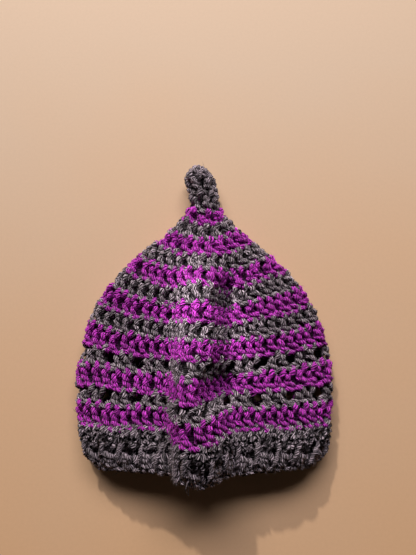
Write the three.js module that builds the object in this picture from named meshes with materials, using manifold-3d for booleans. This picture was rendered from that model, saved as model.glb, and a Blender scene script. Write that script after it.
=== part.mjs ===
import * as THREE from "three";
import { mergeVertices } from "three/addons/utils/BufferGeometryUtils.js";
import Module from "manifold-3d";

// Crocheted pointed nightcap, empty and lying on its back layer.
// Mouth toward -Y, topknot toward +Y, table at z = 0, millimetres.

// Driving sizes of the cap
const HALF_WIDTH = 96;
const WALL = 4.6;
const FOLD_RADIUS = 7;
const PANEL_HEIGHT = 30;
const CREST_HEIGHT = 57;
const CROWN_ROUND = 12.9;
const RIB_ROUND = 13.5;
const CROWN_ROUNDS = 13;
const RIB_ROUNDS = 2;
const GAP = 0.55;

// How tall each crown round stands, as a share of CROWN_ROUND, counted from the brim
const ROUND_SHARES = [1.09, 0.86, 0.94, 0.90, 0.93, 0.95, 0.98, 1, 1, 1, 1, 1, 1];

// The raised ridge left by an old fold along the front layer
const RIDGE_LEFT = 18;
const RIDGE_RIGHT = 34;
const RIDGE_TOP = 3;
const SMILE = 20;
const RIDGE_SLIP = 6.5;
const SLIP_EASE = 2;
const RIDGE_RISE = CREST_HEIGHT - PANEL_HEIGHT;
const PANEL_POWER = 2.4;
const FULL_RIDGE_HALF_WIDTH = 60;

// Small dent pressed into the right flank of the ridge
const DENT_DEPTH = 4.5;
const DENT_X = 9;
const DENT_ROUND = 5.2;
const DENT_REACH_X = 14;
const DENT_REACH_ROUNDS = 1.9;

// Stitch surface of one round: outward bulge between two grooves
const GROOVE = 0.9;
const INNER_GROOVE = 0.3;
const RIB_RELIEF = 1.4;

// Eyelet rounds: a repeat is two stitches and one hole; the first hole stands a share of a repeat
// from the middle of the back layer
const REPEATS = 18;
const UPPER_HOLE_PHASE = 0.546;
const LOWER_HOLE_PHASE = 0.65;
const HOLE_WIDTH = 5.4;
const HOLE_LENGTH = 7.0;

// Ribbed brim
const RIBS = 27;
const SAMPLES_PER_RIB = 4;

// Topknot
const KNOT_LENGTH = 38.5;
const KNOT_RADIUS = 11.6;
const KNOT_ROUNDS = 4;
const KNOT_SIDES = 16;

// Sections of the cap, one row per boundary between rounds, counted from the mouth;
// the last row stands past the crown, where the topknot's neck runs on.
// width, side, panel and rise are shares of HALF_WIDTH, FOLD_RADIUS, PANEL_HEIGHT and RIDGE_RISE,
// crest of HALF_WIDTH, smile of SMILE and slip of RIDGE_SLIP.
const SECTION_COLUMNS = ["width", "side", "panel", "rise", "crest", "smile", "slip"];
const SECTIONS = [
  [0.845, 0.85, 0.93, 0.70, -0.07, 0.00, -0.60],
  [0.925, 1.00, 0.98, 0.87, -0.07, 0.03, -0.80],
  [0.968, 1.00, 1.00, 0.97, -0.08, 0.08, -1.00],
  [0.993, 1.00, 1.00, 1.00, -0.10, 0.18, -0.90],
  [1.000, 1.00, 1.00, 0.99, -0.10, 0.30, -0.85],
  [0.993, 1.00, 1.00, 0.93, -0.09, 0.42, -0.45],
  [0.968, 1.00, 1.00, 0.87, -0.08, 0.58, 0.00],
  [0.928, 1.00, 1.00, 0.80, -0.07, 0.72, 0.10],
  [0.866, 1.00, 1.00, 0.70, -0.06, 0.84, 0.15],
  [0.780, 1.00, 1.00, 0.60, -0.06, 0.88, 0.25],
  [0.676, 1.00, 1.00, 0.48, -0.05, 0.85, 0.40],
  [0.556, 1.05, 1.00, 0.30, -0.03, 0.76, 0.30],
  [0.430, 1.10, 0.98, 0.12, -0.02, 0.62, 0.00],
  [0.298, 1.20, 0.92, 0.00, 0.00, 0.50, 0.00],
  [0.188, 1.30, 0.84, 0.00, 0.00, 0.36, 0.00],
  [0.134, 1.40, 0.78, 0.00, 0.00, 0.20, 0.00],
  [0.120, 1.45, 0.76, 0.00, 0.00, 0.10, 0.00],
];

// Faces of the ribbed brim: rounds from the mouth, depth as a share of GROOVE outside
// and of INNER_GROOVE inside
const BRIM_OUTSIDE = [[0, 1.3], [0.25, 0.2], [0.85, 0.2], [1, 0.8], [1.15, 0.1], [1.8, 0.1], [2, 0.8]];
const BRIM_INSIDE = [[2, 1.5], [1, 1.5], [0, 3]];

// Topknot, along its length: radius as a share of KNOT_RADIUS, lean as a share of KNOT_RADIUS
const KNOT_COLUMNS = ["at", "radius", "lean"];
const KNOT = [
  [0.00, 0.97, 0.16],
  [0.25, 0.95, 0.03],
  [0.50, 1.00, -0.15],
  [0.72, 0.98, -0.34],
  [0.87, 0.80, -0.42],
  [0.96, 0.48, -0.45],
];

// Runs around a section and how many stations each one gets
const RUNS = [
  ["bottom_right", 4],
  ["fold_right", 5],
  ["panel_right", 4],
  ["flank_right", 6],
  ["crest", 1],
  ["flank_left", 6],
  ["panel_left", 4],
  ["fold_left", 5],
  ["bottom_left", 4],
];

const PURPLE = 0x8f3a95;
const GREY = 0x4f4b4c;

const CROWN_NODES = [
  "crown_round_13_purple",
  "crown_round_12_grey_eyelet",
  "crown_round_11_purple",
  "crown_round_10_grey_eyelet",
  "crown_round_9_purple",
  "crown_round_8_grey",
  "crown_round_7_purple",
  "crown_round_6_grey",
  "crown_round_5_purple",
  "crown_round_4_grey",
  "crown_round_3_purple",
  "crown_round_2_grey",
  "crown_round_1_purple",
];

const wasm = await Module();
wasm.setup();

// A table column at a fractional row, through the rows with a smooth slope
function smoothColumn(rows, column, at) {
  const last = rows.length - 1;
  const low = Math.min(Math.max(Math.floor(at), 0), last - 1);
  const t = at - low;
  const slope = (k) => {
    const before = Math.max(k - 1, 0);
    const after = Math.min(k + 1, last);
    return (rows[after][column] - rows[before][column]) / (after - before);
  };
  const h1 = (1 + 2 * t) * (1 - t) ** 2;
  const h2 = t * (1 - t) ** 2;
  const h3 = t * t * (3 - 2 * t);
  const h4 = t * t * (t - 1);
  return h1 * rows[low][column] + h2 * slope(low) + h3 * rows[low + 1][column] + h4 * slope(low + 1);
}

function sectionSizes(round) {
  const share = {};
  SECTION_COLUMNS.forEach((name, column) => {
    share[name] = smoothColumn(SECTIONS, column, round);
  });
  const half = share.width * HALF_WIDTH - WALL / 2;
  const fold = Math.min(share.side * FOLD_RADIUS, half);
  const small = Math.min(1, half / FULL_RIDGE_HALF_WIDTH);
  return {
    half,
    fold,
    flat: half - fold,
    top: Math.max(share.panel * PANEL_HEIGHT - WALL, 2 * fold),
    rise: Math.max(share.rise, 0) * RIDGE_RISE,
    crest: share.crest * HALF_WIDTH,
    left: RIDGE_LEFT * small,
    right: RIDGE_RIGHT * small,
    ledge: RIDGE_TOP * small,
    smile: share.smile * SMILE,
    slip: share.slip * RIDGE_SLIP,
  };
}

// One at the middle, nought at distance one, rounded by equal arcs at the top and the foot
function hill(distance) {
  const d = Math.min(Math.abs(distance), 1);
  return d < 0.5 ? 1 - 2 * d * d : 2 * (1 - d) ** 2;
}

// Height of the front layer above the back layer: a pillow with the ridge on it, less the dent
function frontHeight(size, round, x) {
  const across = Math.min(Math.abs(x) / Math.max(size.flat, 1e-6), 1);
  const pillow = 2 * size.fold + (size.top - 2 * size.fold) * (1 - across ** PANEL_POWER);
  const offset = x - size.crest;
  const edge = size.ledge / 2;
  const d = offset < 0 ? Math.min(offset + edge, 0) / size.left : Math.max(offset - edge, 0) / size.right;
  const dentX = (x - DENT_X) / DENT_REACH_X;
  const dentRound = (round - DENT_ROUND) / DENT_REACH_ROUNDS;
  return pillow + size.rise * hill(d) - DENT_DEPTH * hill(dentX) * hill(dentRound);
}

function roundHeight(index) {
  const row = Math.min(Math.floor(index - RIB_ROUNDS), ROUND_SHARES.length - 1);
  return row < 0 ? RIB_ROUND : CROWN_ROUND * ROUND_SHARES[row];
}

// Distance from the mouth to a place among the rounds
function levelAt(round) {
  const index = Math.max(Math.floor(round), 0);
  let level = (round - index) * roundHeight(index);
  for (let i = 0; i < index; i += 1) {
    level += roundHeight(i);
  }
  return level;
}

// Centre line of the wall around the cap at one level, from the middle of the back layer
function centreLine(round, finer = 1) {
  const size = sectionSizes(round);
  const footRight = Math.min(size.crest + size.ledge / 2 + size.right, size.flat * 0.6);
  const footLeft = Math.max(size.crest - size.ledge / 2 - size.left, -size.flat * 0.6);
  const ledgeRight = size.crest + size.ledge / 2;
  const ledgeLeft = size.crest - size.ledge / 2;
  const front = (from, to) => (t) => {
    const x = from + (to - from) * t;
    return [x, frontHeight(size, round, x)];
  };
  const arc = (side, start) => (t) => {
    const angle = start + Math.PI * t;
    return [side * size.flat + size.fold * Math.cos(angle), size.fold + size.fold * Math.sin(angle)];
  };
  const shape = {
    bottom_right: (t) => [size.flat * t, 0],
    fold_right: arc(1, -Math.PI / 2),
    panel_right: front(size.flat, footRight),
    flank_right: front(footRight, ledgeRight),
    crest: front(ledgeRight, ledgeLeft),
    flank_left: front(ledgeLeft, footLeft),
    panel_left: front(footLeft, -size.flat),
    fold_left: arc(-1, Math.PI / 2),
    bottom_left: (t) => [-size.flat * (1 - t), 0],
  };
  const level = levelAt(round);
  const points = [];
  for (const [name, count] of RUNS) {
    for (let i = 0; i < count * finer; i += 1) {
      const [x, z] = shape[name](i / (count * finer));
      const offset = x - size.crest;
      const slipAt = offset < 0 ? offset / (RIDGE_LEFT + SLIP_EASE) : offset / RIDGE_RIGHT;
      const inFront = Math.min(Math.max(z / size.fold - 1, 0), 1);
      const y = level + size.smile * (x / size.half) ** 2 + size.slip * hill(slipAt) * inFront;
      points.push(new THREE.Vector3(x, y, z + WALL / 2));
    }
  }
  return points;
}

function stations(round) {
  return centreLine(round);
}

// The same number of points spread evenly by length, starting at the middle of the back layer
function spreadEvenly(points, count, phase = 0) {
  const lengths = [0];
  for (let i = 0; i < points.length; i += 1) {
    const next = points[(i + 1) % points.length];
    lengths.push(lengths[i] + points[i].distanceTo(next));
  }
  const total = lengths[points.length];
  const spread = [];
  let k = 0;
  for (let i = 0; i < count; i += 1) {
    const at = (total * (i + phase)) / count;
    while (lengths[k + 1] < at) {
      k += 1;
    }
    const t = (at - lengths[k]) / (lengths[k + 1] - lengths[k]);
    spread.push(points[k].clone().lerp(points[(k + 1) % points.length], t));
  }
  return spread;
}

// Points of the wall's middle at one level with the outward normal of the surface at each
function wallLine(round, layout) {
  const step = 0.05;
  const here = layout(round);
  const below = layout(round - step);
  const above = layout(round + step);
  const count = here.length;
  return here.map((point, i) => {
    const along = here[(i + 1) % count].clone().sub(here[(i + count - 1) % count]);
    const up = above[i].clone().sub(below[i]);
    const normal = up.cross(along).normalize();
    return { point, normal };
  });
}

function offsetRing(line, distance) {
  return line.map(({ point, normal }, i) => {
    const out = typeof distance === "function" ? distance(i) : distance;
    return point.clone().addScaledVector(normal, out);
  });
}

// A closed body from rings of points: each ring joined to the next,
// the last ring to the first, or both ends closed to a pole
function loftBody(rings, poles) {
  const count = rings[0].length;
  const points = rings.flat();
  const faces = [];
  const join = (a, b) => {
    for (let i = 0; i < count; i += 1) {
      const j = (i + 1) % count;
      faces.push(a * count + i, a * count + j, b * count + j);
      faces.push(a * count + i, b * count + j, b * count + i);
    }
  };
  for (let ring = 0; ring + 1 < rings.length; ring += 1) {
    join(ring, ring + 1);
  }
  if (poles) {
    const first = points.length;
    points.push(poles[0], poles[1]);
    const lastRing = (rings.length - 1) * count;
    for (let i = 0; i < count; i += 1) {
      const j = (i + 1) % count;
      faces.push(first, j, i);
      faces.push(first + 1, lastRing + i, lastRing + j);
    }
  } else {
    join(rings.length - 1, 0);
  }
  const geometry = new THREE.BufferGeometry();
  geometry.setAttribute("position", new THREE.Float32BufferAttribute(points.flatMap((p) => p.toArray()), 3));
  geometry.setIndex(signedVolume(points, faces) < 0 ? flipped(faces) : faces);
  return geometry;
}

function signedVolume(points, faces) {
  let sum = 0;
  for (let i = 0; i < faces.length; i += 3) {
    const [a, b, c] = [points[faces[i]], points[faces[i + 1]], points[faces[i + 2]]];
    sum += a.dot(b.clone().cross(c));
  }
  return sum / 6;
}

function flipped(faces) {
  const turned = [];
  for (let i = 0; i < faces.length; i += 3) {
    turned.push(faces[i], faces[i + 2], faces[i + 1]);
  }
  return turned;
}

// One crocheted round: bulged outside, plain inside, a gap left to the next round
function crownRound(index) {
  const margin = GAP / 2 / roundHeight(index);
  const half = WALL / 2;
  const outside = [[0, half - GROOVE], [0.2, half], [0.8, half], [1, half - GROOVE]];
  const inside = [[1, INNER_GROOVE - half], [0, INNER_GROOVE - half]];
  const rings = [...outside, ...inside].map(([share, distance]) => {
    const round = index + margin + share * (1 - 2 * margin);
    return offsetRing(wallLine(round, stations), distance);
  });
  return loftBody(rings);
}

// A six-sided plug through the wall, lengthwise along the round's height
function holePlug(centre, along, up, out) {
  const corners = [[-0.5, -0.2], [-0.5, 0.2], [0, 0.5], [0.5, 0.2], [0.5, -0.2], [0, -0.5]];
  const rings = [-WALL, WALL].map((depth) => corners.map(([a, b]) => centre.clone()
    .addScaledVector(along, a * HOLE_WIDTH)
    .addScaledVector(up, b * HOLE_LENGTH)
    .addScaledVector(out, depth)));
  const poles = [-WALL, WALL].map((depth) => centre.clone().addScaledVector(out, depth));
  return loftBody(rings, poles);
}

function toManifold(geometry) {
  const plain = geometry.clone();
  plain.deleteAttribute("normal");
  plain.deleteAttribute("uv");
  const merged = mergeVertices(plain, 1e-5);
  const mesh = new wasm.Mesh({
    numProp: 3,
    vertProperties: new Float32Array(merged.attributes.position.array),
    triVerts: new Uint32Array(merged.index.array),
  });
  return new wasm.Manifold(mesh);
}

function fromManifold(body) {
  const mesh = body.getMesh();
  const geometry = new THREE.BufferGeometry();
  geometry.setAttribute("position", new THREE.Float32BufferAttribute(mesh.vertProperties, 3));
  geometry.setIndex(Array.from(mesh.triVerts));
  return geometry;
}

// An eyelet round: a crown round pierced once in every repeat, all the way around
function eyeletRound(index, phase) {
  const middle = index + 0.52;
  const step = 0.1;
  const finer = 6;
  const here = spreadEvenly(centreLine(middle, finer), REPEATS, phase);
  const ahead = spreadEvenly(centreLine(middle, finer), REPEATS, phase + step);
  const above = spreadEvenly(centreLine(middle + step, finer), REPEATS, phase);
  let body = toManifold(crownRound(index));
  here.forEach((centre, i) => {
    const along = ahead[i].clone().sub(centre).normalize();
    const out = along.clone().cross(above[i].clone().sub(centre)).normalize();
    const up = out.clone().cross(along);
    body = body.subtract(toManifold(holePlug(centre, along, up, out)));
  });
  return fromManifold(body);
}

// The ribbed brim: two rounds of raised and sunken posts, a groove between the rounds
function ribbedBrim() {
  const count = RIBS * SAMPLES_PER_RIB;
  const layout = (round) => spreadEvenly(centreLine(round, 6), count);
  const half = WALL / 2;
  const margin = GAP / 2 / RIB_ROUND;
  const ribs = (out) => (i) => {
    const wave = Math.cos((2 * Math.PI * i) / SAMPLES_PER_RIB);
    return out + RIB_RELIEF * 0.5 * (wave - 1);
  };
  const ring = (share, out) => offsetRing(wallLine(margin + share * (1 - margin), layout), out);
  const rings = [
    ...BRIM_OUTSIDE.map(([share, depth]) => ring(share, ribs(half - depth * GROOVE))),
    ...BRIM_INSIDE.map(([share, depth]) => ring(share, depth * INNER_GROOVE - half)),
  ];
  return loftBody(rings);
}

// The hollow topknot: four rounds of a narrow tube with a rounded, closed end
function topknot() {
  const crownEnd = RIB_ROUNDS + CROWN_ROUNDS;
  const seat = sectionSizes(crownEnd);
  const bow = (x) => seat.smile * Math.min((x / seat.half) ** 2, 1);
  const rim = offsetRing(wallLine(crownEnd, stations), WALL / 2);
  const base = Math.max(...rim.map((point) => point.y - bow(point.x))) + GAP;
  const rows = KNOT.length - 1;
  const place = (at) => {
    let row = 0;
    while (row < rows - 1 && KNOT[row + 1][0] < at) {
      row += 1;
    }
    return row + Math.min((at - KNOT[row][0]) / (KNOT[row + 1][0] - KNOT[row][0]), 1);
  };
  const ring = (at, inset) => {
    const row = place(at);
    const radius = smoothColumn(KNOT, KNOT_COLUMNS.indexOf("radius"), row) * KNOT_RADIUS - inset;
    const lean = smoothColumn(KNOT, KNOT_COLUMNS.indexOf("lean"), row) * KNOT_RADIUS;
    const points = [];
    for (let i = 0; i < KNOT_SIDES; i += 1) {
      const angle = (2 * Math.PI * (i + 0.5)) / KNOT_SIDES - Math.PI / 2;
      const x = lean + radius * Math.cos(angle);
      const z = KNOT_RADIUS + radius * Math.sin(angle);
      const y = base + at * KNOT_LENGTH + bow(x) * (1 - at) ** 2;
      points.push(new THREE.Vector3(x, y, z));
    }
    return points;
  };
  const outer = [];
  for (let round = 0; round < KNOT_ROUNDS; round += 1) {
    for (const [share, groove] of [[0, GROOVE], [0.3, 0], [0.75, 0]]) {
      outer.push(ring((round + share) * 0.25 * 0.96, groove));
    }
  }
  outer.push(ring(0.96, 0));
  const inner = [0.84, 0.7, 0.45, 0.2, 0].map((at) => ring(at, WALL));
  const tipLean = KNOT[rows][2] * KNOT_RADIUS;
  const tip = (at) => new THREE.Vector3(tipLean, base + at * KNOT_LENGTH, KNOT_RADIUS);
  return loftBody([...inner, ...outer], [tip(0.88), tip(1)]);
}

const cap = new THREE.Group();
cap.name = "nightcap";

function addPiece(name, geometry, colour) {
  const material = new THREE.MeshStandardMaterial({ color: colour, roughness: 0.95, metalness: 0 });
  material.name = colour === PURPLE ? "purple_yarn" : "grey_yarn";
  const piece = new THREE.Mesh(geometry, material);
  piece.name = name;
  cap.add(piece);
}

addPiece("ribbed_brim", ribbedBrim(), GREY);
CROWN_NODES.forEach((name, i) => {
  const index = RIB_ROUNDS + i;
  const phase = name.includes("round_10") ? UPPER_HOLE_PHASE : LOWER_HOLE_PHASE;
  const geometry = name.includes("eyelet") ? eyeletRound(index, phase) : crownRound(index);
  addPiece(name, geometry, name.includes("purple") ? PURPLE : GREY);
});
addPiece("topknot", topknot(), GREY);

// Origin at the middle of the cap's footprint on the table
cap.updateMatrixWorld(true);
const box = new THREE.Box3().setFromObject(cap);
const middle = box.getCenter(new THREE.Vector3());
for (const piece of cap.children) {
  piece.geometry.translate(-middle.x, -middle.y, -box.min.z);
  piece.geometry.computeVertexNormals();
}

export default cap;
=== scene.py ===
import bpy
import numpy as np
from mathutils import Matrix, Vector


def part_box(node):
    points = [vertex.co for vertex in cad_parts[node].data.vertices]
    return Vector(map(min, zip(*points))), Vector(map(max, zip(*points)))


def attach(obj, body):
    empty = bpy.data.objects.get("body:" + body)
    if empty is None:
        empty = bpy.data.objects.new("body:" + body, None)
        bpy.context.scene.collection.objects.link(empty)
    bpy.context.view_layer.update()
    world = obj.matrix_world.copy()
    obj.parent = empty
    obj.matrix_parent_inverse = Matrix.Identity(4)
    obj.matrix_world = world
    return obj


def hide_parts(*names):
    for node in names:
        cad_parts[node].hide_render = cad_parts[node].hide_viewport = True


bl_info = {
    "name": "Crocheted Nightcap",
    "version": (1, 0, 0),
    "blender": (4, 5, 0),
    "location": "3D View > Sidebar > Nightcap",
    "description": "Works a striped, pointed nightcap from its yarn, stitch by stitch",
    "category": "Object",
}

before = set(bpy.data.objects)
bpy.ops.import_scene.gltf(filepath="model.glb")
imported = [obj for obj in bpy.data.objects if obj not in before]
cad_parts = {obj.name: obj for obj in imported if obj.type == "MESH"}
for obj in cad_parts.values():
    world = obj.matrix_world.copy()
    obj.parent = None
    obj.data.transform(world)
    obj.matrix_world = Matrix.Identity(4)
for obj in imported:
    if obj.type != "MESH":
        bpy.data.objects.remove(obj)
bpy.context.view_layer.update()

MM = 0.001

# The cap's own sizes, as the solids have them, in millimetres
HALF_WIDTH = 96.0
WALL = 4.6
FOLD_RADIUS = 7.0
PANEL_HEIGHT = 30.0
CREST_HEIGHT = 57.0
CROWN_ROUND = 12.9
RIB_ROUND = 13.5
CROWN_ROUNDS = 13
RIB_ROUNDS = 2
# How tall each crown round stands, as a share of CROWN_ROUND, counted from the brim
ROUND_SHARES = (1.09, 0.86, 0.94, 0.90, 0.93, 0.95, 0.98, 1, 1, 1, 1, 1, 1)
RIDGE_LEFT = 18.0
RIDGE_RIGHT = 34.0
RIDGE_TOP = 3.0
SMILE = 20.0
RIDGE_SLIP = 6.5
SLIP_EASE = 2.0
RIDGE_RISE = CREST_HEIGHT - PANEL_HEIGHT
PANEL_POWER = 2.4
FULL_RIDGE_HALF_WIDTH = 60.0
# Where swells lie, here and below: place across and reach in millimetres, round and reach in rounds
DENT = (9.0, 14.0, 5.2, 1.9)
DENT_DEPTH = 4.5
# The crease where the rows step down on the ridge's left side: place from the crest, width, depth, and
# the rounds that it fades out from
CREASE_X = -8.5
CREASE_WIDTH = 4.0
CREASE_DEPTH = 2.2
CREASE_ROUND = 4.6
CREASE_ROUNDS = 5.0
# Hollows in the ridge's right flank, whose floor falls away from the light: the round where each starts,
# rounds down to its deepest place and from there up again, ends from the crest and depth in millimetres
HOLLOWS = ((6.0, 1.4, 1.6, 2.0, 33.0, 13.0), (11.4, 1.9, 1.5, 9.0, 32.0, 7.0))
HOLLOW_SLOPE = 6.0
# Valley right of the ridge, fill left of it at the mouth and drop of the edge right of it: where each lies
# beside the crest, its lift, and how far it pushes the rows along
SWELLS = (((21.0, 13.5, 8.9, 3.8), -10.0, -3.0), ((-19.0, 17.0, 0.0, 2.6), 6.0, 0.0),
          ((22.0, 34.0, 0.0, 2.6), 0.0, -2.6))
# The rounds on the ridge and its right flank each bulge between the joins
RIPPLE = (9.0, 26.0, 7.5, 6.0)
RIPPLE_DEPTH = 1.7
# Over the last rounds to the mouth the panels grow fuller, by a higher power of the pillow
FULL_ROUNDS = 6.0
FULL_POWER = 3.2
REPEATS = 18
RIBS = 27
KNOT_LENGTH = 38.5
KNOT_RADIUS = 11.6
# How far the topknot is worked down over the crown, the gap that the solids leave there, and how much of
# its height the crown's last round keeps
KNOT_SINK = 2.6
KNOT_GAP = 0.55
LAST_ROUND_REACH = 0.84

# Sections of the cap at each boundary between rounds, counted from the mouth
SECTION_NAMES = ("width", "side", "panel", "rise", "crest", "smile", "slip")
SECTIONS = np.array([
    [0.845, 0.85, 0.93, 0.70, -0.07, 0.00, -0.60],
    [0.925, 1.00, 0.98, 0.87, -0.07, 0.03, -0.80],
    [0.968, 1.00, 1.00, 0.97, -0.08, 0.08, -1.00],
    [0.993, 1.00, 1.00, 1.00, -0.10, 0.18, -0.90],
    [1.000, 1.00, 1.00, 0.99, -0.10, 0.30, -0.85],
    [0.993, 1.00, 1.00, 0.93, -0.09, 0.42, -0.45],
    [0.968, 1.00, 1.00, 0.87, -0.08, 0.58, 0.00],
    [0.928, 1.00, 1.00, 0.80, -0.07, 0.72, 0.10],
    [0.866, 1.00, 1.00, 0.70, -0.06, 0.84, 0.15],
    [0.780, 1.00, 1.00, 0.60, -0.06, 0.88, 0.25],
    [0.676, 1.00, 1.00, 0.48, -0.05, 0.85, 0.40],
    [0.556, 1.05, 1.00, 0.30, -0.03, 0.76, 0.30],
    [0.430, 1.10, 0.98, 0.12, -0.02, 0.62, 0.00],
    [0.298, 1.20, 0.92, 0.00, 0.00, 0.50, 0.00],
    [0.188, 1.30, 0.84, 0.00, 0.00, 0.36, 0.00],
    [0.134, 1.40, 0.78, 0.00, 0.00, 0.20, 0.00],
    [0.120, 1.45, 0.76, 0.00, 0.00, 0.10, 0.00],
])

# Topknot along its length: place, radius and lean, the last two as shares of KNOT_RADIUS
KNOT = np.array([
    [0.00, 0.97, 0.16],
    [0.25, 0.95, 0.03],
    [0.50, 1.00, -0.15],
    [0.72, 0.98, -0.34],
    [0.87, 0.80, -0.42],
    [0.96, 0.48, -0.45],
    [1.00, 0.00, -0.45],
])

# Crown rounds, from the mouth to the topknot: node, stitches around
CROWN = (
    ("crown_round_13_purple", 54),
    ("crown_round_12_grey_eyelet", 54),
    ("crown_round_11_purple", 54),
    ("crown_round_10_grey_eyelet", 54),
    ("crown_round_9_purple", 52),
    ("crown_round_8_grey", 49),
    ("crown_round_7_purple", 45),
    ("crown_round_6_grey", 40),
    ("crown_round_5_purple", 33),
    ("crown_round_4_grey", 25),
    ("crown_round_3_purple", 17),
    ("crown_round_2_grey", 11),
    ("crown_round_1_purple", 6),
)
# Where the rounds with holes have their first hole, in repeats, as in the solids
HOLE_PHASES = {"crown_round_10_grey_eyelet": 0.546, "crown_round_12_grey_eyelet": 0.65}
# One repeat of such a round in stitch widths: start and width of its stitches, the chain over the hole and
# the pads, the middle of the hole and the whole width
HOLE_STITCHES = ((0.0, 1.3), (1.05, 1.3))
HOLE_SPAN = (1.72, 0.8)
HOLE_PADS = ((-0.17, 0.84), (0.88, 0.84), (1.85, 1.0))
HOLE_MIDDLE = 2.02
HOLE_WIDTHS = 3
# Where the first stitches stand, as shares of the way around, and the step from one round's stitches to
# the next one's, in stitch widths
CROWN_FIRST = 0.1
BRIM_FIRST = 0.013
KNOT_FIRST = 0.04
STAGGER = 0.5
# The topknot's rounds: stitches around and the share of the round's height that they take; then how far
# their heads draw in, in millimetres, from where and over how much of their height
KNOT_ROUNDS = ((7, 1.0), (7, 1.0), (6, 0.86))
KNOT_WAIST = -1.3
WAIST_FROM = 0.7
WAIST_OVER = 0.2
KNOT_PLUMP = 1.1
KNOT_LEAN = -0.35
KNOT_PAD_WIDTH = 0.62
KNOT_WOBBLE = 0.8
# A stitch this wide takes the yarn as it is; in wider ones it is plumper, up to the second value
PLAIN_PITCH = 7.8
MOST_PLUMP = 1.3
# The seam: crown rounds from the mouth where it shows, chain stitches in a round, millimetres out, how
# uneven it is, and the share that it takes of the brim's last round
SEAM_ROUNDS = 5
SEAM_CHAINS = 3
SEAM_OUT = 0.6
SEAM_WOBBLE = 0.3
EDGE_SEAM = 0.84
FAN_HEIGHT = 1.14
FAN_PLUMP = 1.2
RIB_PLUMP = 1.1
# The share of the relief that a rib takes, its width, and where and over how much of it the relief fades
RIB_SHARE = 0.3
RIB_WIDTH = 1.35
RIB_TOP = 0.85
RIB_EASE = 0.3
# What the brim and the topknot add to the seed
BRIM_SEED = 40
KNOT_SEED = 60

# One double crochet, worked from the topknot down: across in stitch widths, down in round heights from
# the foot of the stitch, out in millimetres from the wall's middle, and how plump the yarn is there
WRAP = [(-0.48, 0.60, -1.5, 0.8), (-0.44, 0.32, -0.8, 0.9), (-0.37, 0.22, 0.6, 1.1),
        (-0.30, 0.29, 1.8, 1.35), (-0.23, 0.41, 1.9, 1.4), (-0.13, 0.53, 0.8, 1.1), (-0.04, 0.54, -1.2, 0.8)]
KNUCKLE = [(0.10, 0.22, -1.7, 0.8), (0.15, -0.08, -1.0, 0.9), (0.19, -0.14, 0.6, 1.15),
           (0.21, -0.04, 1.8, 1.4), (0.19, 0.10, 1.9, 1.45), (0.13, 0.23, 0.9, 1.15), (0.01, 0.36, -1.1, 0.8)]
BASE = [(-0.27, 0.53, -1.5, 0.8), (-0.45, 0.54, -0.4, 0.9), (-0.35, 0.59, 1.1, 1.1), (-0.14, 0.67, 1.8, 1.25),
        (0.07, 0.76, 1.6, 1.2), (0.25, 0.86, 0.2, 0.9)]
CHAIN = [(0.20, 0.98, -1.2, 0.8), (-0.02, 0.96, 0.0, 0.95), (0.16, 0.94, 1.2, 1.2), (0.44, 0.98, 1.6, 1.3),
         (0.70, 0.99, 0.9, 1.2), (0.87, 0.94, -0.3, 0.95), (0.66, 0.98, -1.2, 0.9)]
STITCH = WRAP + KNUCKLE + BASE + CHAIN
# The chain stitch that spans a hole, its three strands one above the other
SPAN = [(0.02, 0.98, -0.2, 1.0), (0.20, 0.95, 1.0, 1.2), (0.50, 0.98, 1.3, 1.3), (0.82, 0.95, 0.7, 1.2),
        (1.00, 0.82, -0.4, 1.1), (0.72, 0.76, 0.2, 1.3), (0.36, 0.75, 0.1, 1.3), (0.06, 0.82, -0.8, 1.0),
        (0.40, 0.90, -1.4, 1.0)]
# The brim's first round: two stitches drawn together at their feet's far end and fanned out at the crown
FAN = [(0.20, 1.04, -0.6, 0.8), (-0.02, 0.80, 1.7, 1.2), (-0.24, 0.40, 2.1, 1.35), (-0.42, 0.08, 1.2, 1.15),
       (-0.28, -0.06, -0.6, 0.8), (-0.04, 0.02, 1.2, 1.15), (0.04, 0.38, 2.3, 1.35), (0.18, 0.84, 2.3, 1.25),
       (0.36, 1.10, 1.2, 1.0), (0.50, 0.84, 2.3, 1.25), (0.50, 0.40, 2.4, 1.4), (0.52, 0.02, 1.4, 1.2),
       (0.68, -0.10, -0.6, 0.8), (0.94, 0.04, 1.2, 1.15), (0.94, 0.42, 2.2, 1.4), (0.86, 0.84, 2.1, 1.3),
       (0.94, 1.15, 1.1, 1.05), (1.18, 0.92, 1.9, 1.25), (1.34, 0.50, 1.9, 1.35), (1.44, 0.14, 1.2, 1.2),
       (1.36, -0.04, -0.6, 0.8), (1.24, 0.50, -1.6, 0.8), (1.20, 0.98, -0.8, 0.9), (1.48, 0.86, 1.1, 1.2),
       (1.72, 0.66, 1.3, 1.25), (1.98, 0.92, -0.8, 0.9)]
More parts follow.
